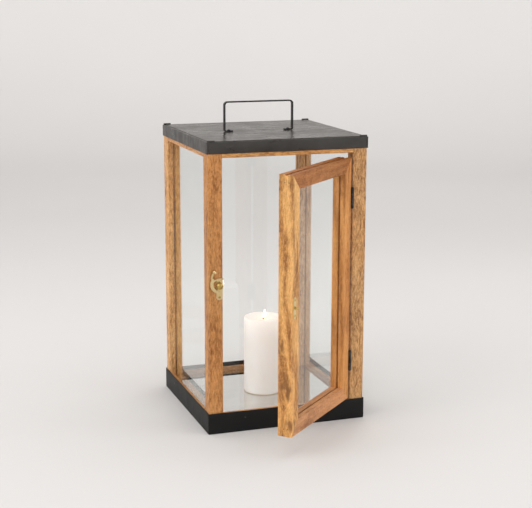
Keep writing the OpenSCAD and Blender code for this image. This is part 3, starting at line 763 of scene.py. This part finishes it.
inset = 0.0011
h0 = RH - inset
zt = RZ
prof = [(0.02, zt, 0.004), (0.045, zt, 0.006), (0.07, zt, 0.006), (0.09, zt, 0.005), (0.105, zt, 0.004), (0.114, zt, 0.003), (0.118, zt, 0.003)]
# the sheet steps down to a narrow ledge behind the rims, then folds over the edge
prof += [(RH - 0.0044, zt, 0.0024), (RH - 0.0041, zt - 0.00008, 0.0022), (RH - 0.0040, zt - 0.0003, 0.0020), (RH - 0.0040, zt - 0.0008, 0.0020)]
prof += [(RH - 0.0039, zt - 0.00087, 0.0018), (RH - 0.0036, zt - 0.00089, 0.0018), (h0 - 0.0004, zt - 0.00089, 0.0014), (h0 - 0.0001, zt - 0.0011, 0.0014), (h0, zt - 0.0015, 0.0014)]
prof += [(h0, RB + 0.009, 0.0014), (h0, RB + 0.0005, 0.0014), (h0 - 0.0004, RB, 0.0012), (h0 - T, RB + 0.0002, 0.001)]
prof += [(h0 - T, RZ - 0.004, 0.001), (h0 - T - 0.0006, RZ - 0.0014, 0.001), (0.10, RZ - 0.0014, 0.002), (0.05, RZ - 0.0014, 0.002)]
sheet = pan("roof_sheet", prof, True, roof_wave)
parts = []


def flange_wave(seed, ax):
    def f(p):
        q = p.copy()
        t = Vector((p.x, p.y, 0))
        d = 0.00022 * wobble(t, 26, seed) + 0.0001 * wobble(t, 60, seed + 3)
        # only ever inwards, so the piece stays in its box
        k = 1 - 1 if ax is None else 1
        if ax == 1:
            q.y += math.copysign(-abs(d), p.y) * k
        else:
            q.x += math.copysign(-abs(d), p.x) * k
        if p.z > RB + 0.010:
            q.z += 0.00028 * wobble(t, 18, seed + 7)
        else:
            q.z += abs(0.0002 * wobble(t, 16, seed + 9))
        return q
    return f


ft = 0.0021
for s in (-1, 1):
    lo = (-RH + 0.0028, s * RH - (ft if s > 0 else 0), RB)
    hi = (RH - 0.0028, s * RH + (ft if s < 0 else 0), RZ - 0.00080)
    parts.append(round_box("f", lo, hi, 0.00102, 6, cuts=(0, 28), wave=flange_wave(20 + s, 1)))
    lo = (s * RH - (ft if s > 0 else 0), -RH, RB)
    hi = (s * RH + (ft if s < 0 else 0), RH, RZ - 0.00075)
    parts.append(round_box("f", lo, hi, 0.0007, 4, cuts=(1, 28), wave=flange_wave(30 + s, 0)))
    for sy in (-1, 1):
        # the fold inside the corner seam
        fx, fy = sorted((s * (RH - 0.0048), s * (RH - 0.0006))), sorted((sy * (RH - 0.0048), sy * (RH - 0.0008)))
        parts.append(round_box("f", (fx[0], fy[0], RB + 0.0006), (fx[1], fy[1], RZ - 0.0009), 0.0004, 2))
        # tucked corner: a flattened dog-ear lying along the front and back edges
        cx = s * (RH - 0.0068)
        cy = sy * (RH - 0.0026)
        parts.append(round_box("f", (cx - 0.0058, cy - 0.0013, RZ - 0.0012), (cx + 0.0058, cy + 0.0013, rhi.z - 0.0001), 0.0009, 4))
rims = join("roof_rims", parts)
for o, mat in ((sheet, roof_mat), (rims, rim_mat_painted_lighter)):
    set_mat(o, mat)
    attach(o, "root")
    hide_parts("roof_cap")

# tray
tlo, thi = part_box("base_tray")
TH, TT = thi.x, thi.z


def tray_wave(p):
    q = p.copy()
    if p.z > 0.0012:
        d = 0.00022 * wobble(p, 16, 41) + 0.0001 * wobble(p, 45, 42)
        k = (TH - abs(d)) / TH
        q.x *= k
        q.y *= k
    if p.z > TT - 0.002:
        q.z -= abs(0.0002 * wobble(p, 12, 43))
    return q


prof = [(0.03, 0.0, 0.004), (0.08, 0.0, 0.004), (0.115, 0.0, 0.003)]
prof += [(x, z, 0.0016) for x, z in arc_pts(TH - 0.0012, 0.0012, 0.0012, -math.pi / 2, 0, 4)]
prof += [(TH, 0.008, 0.0016), (TH, 0.016, 0.0016), (TH, 0.024, 0.0016), (TH, TT - 0.0006, 0.0016), (TH - 0.0002, TT - 0.00015, 0.0015), (TH - 0.0006, TT, 0.0014), (TH - 0.0010, TT - 0.00015, 0.0013), (TH - 0.0012, TT - 0.0006, 0.001)]
prof += [(TH - 0.0012, 0.02, 0.001), (TH - 0.0012, 0.002, 0.001), (TH - 0.002, 0.0012, 0.001), (0.1, 0.0012, 0.001), (0.05, 0.0012, 0.001)]
tray = pan("base_tray_skin", prof, False, tray_wave)
set_mat(tray, tray_mat)
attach(tray, "root")
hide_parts("base_tray")

# ------------------------------------------------------------------ candle

clo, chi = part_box("candle")
CC = (clo + chi) / 2
CR = (chi.x - clo.x) / 2
FZ, CT = clo.z, chi.z


def candle():
    prof = [(0.0, CT - 0.0052), (0.002, CT - 0.0054), (0.005, CT - 0.0052), (0.009, CT - 0.0044), (0.013, CT - 0.0034), (0.018, CT - 0.0022), (0.023, CT - 0.0012),
            (CR - 0.0050, CT - 0.0005), (CR - 0.0032, CT - 0.0001), (CR - 0.0018, CT - 0.0006), (CR - 0.0008, CT - 0.0016), (CR - 0.0003, CT - 0.0030), (CR - 0.0001, CT - 0.006)]
    k = 26
    for i in range(1, k):
        prof.append((CR - 0.0001, CT - 0.006 - (CT - FZ - 0.008) * i / k))
    prof += [(CR - 0.0002, FZ + 0.0018), (CR - 0.0008, FZ + 0.0006), (CR - 0.0018, FZ + 0.0), (0.02, FZ), (0.0, FZ)]
    seg = 96
    verts, faces, rings = [], [], []
    for (r, z) in prof:
        if r == 0.0:
            rings.append([len(verts)])
            verts.append(Vector((CC.x, CC.y, z)))
            continue
        idx = []
        for i in range(seg):
            a = 2 * math.pi * i / seg
            p = Vector((r * math.cos(a), r * math.sin(a), z))
            q = p.copy()
            if FZ + 0.001 < z < CT - 0.001 and r > CR - 0.001:
                d = 0.00035 * (wobble(p, 20, 61) + 0.5 * wobble(p, 55, 62)) - 0.0003
                q.x *= 1 + min(0, d) / r
                q.y *= 1 + min(0, d) / r
            elif z >= CT - 0.0035:
                q.z += min(0.0, 0.0007 * wobble(p, 38, 63) - 0.0002)
            idx.append(len(verts))
            verts.append(q + Vector((CC.x, CC.y, 0)))
        rings.append(idx)
    for a, b in zip(rings, rings[1:]):
        for i in range(seg):
            j = (i + 1) % seg
            if len(a) == 1:
                faces.append((a[0], b[i], b[j]))
            elif len(b) == 1:
                faces.append((a[i], b[0], a[j]))
            else:
                faces.append((a[i], b[i], b[j], a[j]))
    bm = bmesh.new()
    mm = bpy.data.meshes.new("tmp")
    mm.from_pydata([tuple(v) for v in verts], [], faces)
    bm.from_mesh(mm)
    bpy.data.meshes.remove(mm)
    o = from_bmesh("candle_wax", bm)
    set_mat(o, wax("ivory_wax", CC.x, CC.y, CT, FZ))
    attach(o, "candle")
    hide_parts("candle")


candle()


def tube(name, pts, radii, seg=14):
    """Round rod along points, with its ends closed."""
    verts, faces, rings = [], [], []
    pts = [Vector(p) for p in pts]
    for i, p in enumerate(pts):
        t = (pts[min(i + 1, len(pts) - 1)] - pts[max(i - 1, 0)]).normalized()
        a = t.orthogonal().normalized() if i == 0 else (a - a.dot(t) * t).normalized()
        b = t.cross(a)
        rings.append([len(verts) + k for k in range(seg)])
        for k in range(seg):
            w = 2 * math.pi * k / seg
            verts.append(p + radii[i] * (math.cos(w) * a + math.sin(w) * b))
    for r0, r1 in zip(rings, rings[1:]):
        for k in range(seg):
            j = (k + 1) % seg
            faces.append((r0[k], r0[j], r1[j], r1[k]))
    for r, p, flip in ((rings[0], pts[0], True), (rings[-1], pts[-1], False)):
        c = len(verts)
        verts.append(p)
        for k in range(seg):
            j = (k + 1) % seg
            faces.append((c, r[j], r[k]) if flip else (c, r[k], r[j]))
    bm = bmesh.new()
    mm = bpy.data.meshes.new("tmp")
    mm.from_pydata([tuple(v) for v in verts], [], faces)
    bm.from_mesh(mm)
    bpy.data.meshes.remove(mm)
    return from_bmesh(name, bm)


wz = CT - 0.0056
wick = tube("wick_cord", [(CC.x, CC.y, wz - 0.004), (CC.x, CC.y, wz), (CC.x + 0.0003, CC.y, wz + 0.003), (CC.x + 0.0010, CC.y, wz + 0.006), (CC.x + 0.0020, CC.y, wz + 0.0085), (CC.x + 0.0028, CC.y, wz + 0.0100)],
            [0.0009, 0.0009, 0.00085, 0.0008, 0.0008, 0.0007])
set_mat(wick, charred("charred_wick"))
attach(wick, "candle")
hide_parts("wick")


def flame():
    z0, z1 = wz + 0.0015, wz + 0.0165
    prof = []
    for i in range(17):
        t = i / 16
        r = 0.0027 * math.sin(math.pi * t ** 0.60) * (1 - 0.25 * t) if 0 < t < 1 else 0.0
        prof.append((max(r, 0.0), z0 + (z1 - z0) * t))
    pts = [(CC.x + 0.0014 + 0.0011 * math.sin(t * 2.2 / 16), CC.y, z) for t, (r, z) in enumerate(prof)]
    o = tube("flame", pts, [max(r, 0.00005) for r, z in prof], 20)
    set_mat(o, flame_mat("flame_light", z0, z1))
    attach(o, "candle")


flame()
